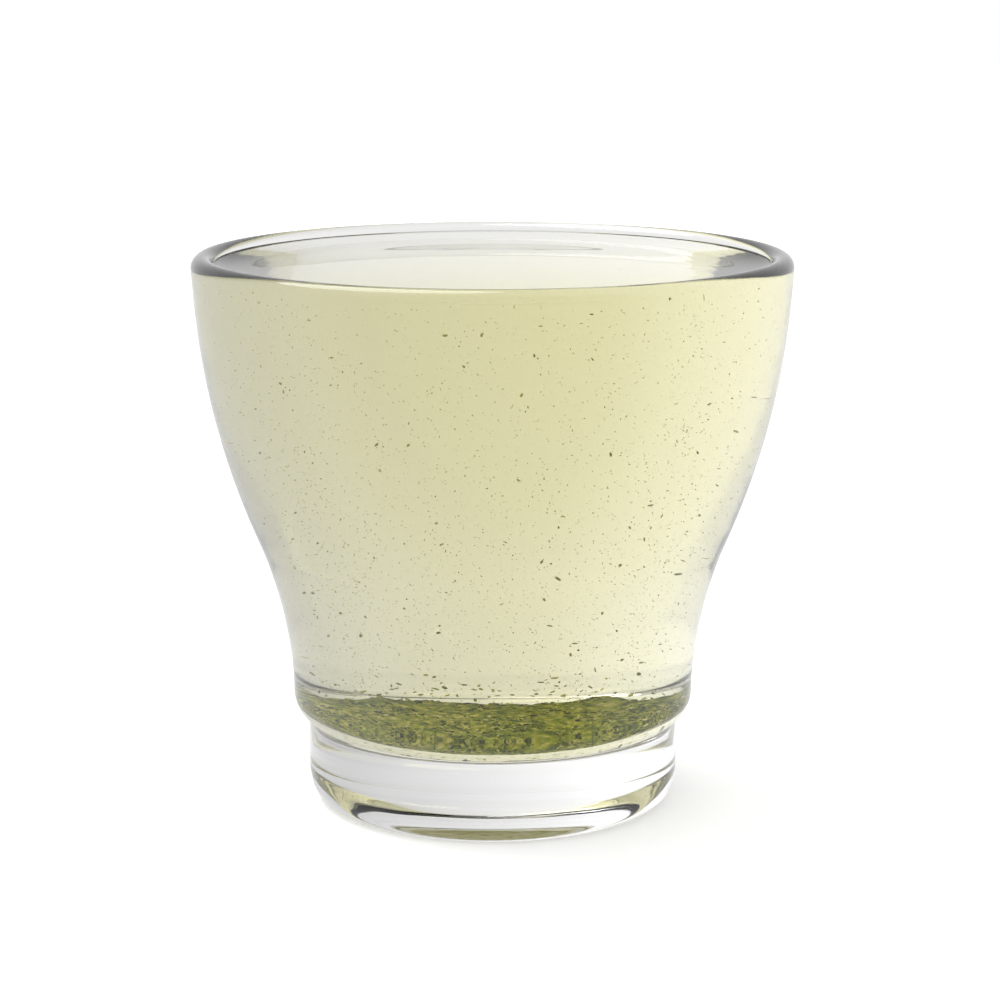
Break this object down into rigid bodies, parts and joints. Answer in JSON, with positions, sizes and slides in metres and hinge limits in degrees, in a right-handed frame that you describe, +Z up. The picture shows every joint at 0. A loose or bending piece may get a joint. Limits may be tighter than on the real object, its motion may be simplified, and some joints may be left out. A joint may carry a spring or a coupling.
{
  "type": "glass tea cup",
  "caption": "Handleless clear glass tea cup with a flared bowl, a round lip and a stepped solid foot, filled with green tea over settled leaf.",
  "frame": {"origin": "centre of the circle the foot stands on, at table height", "axes": "+Z up along the cup's axis of revolution; +X and +Y are alike, because the cup is round"},
  "size_m": [0.084, 0.084, 0.078],
  "materials": {
    "clear_glass": "fire-polished clear pressed glass",
    "green_tea": "clear pale yellow-green liquid with fine leaf in it",
    "tea_leaf": "wet ground leaf"
  },
  "bodies": {
    "root": {"glass_cup": "clear_glass", "green_tea": "green_tea", "leaf_sediment": "tea_leaf"}
  },
  "joints": []
}
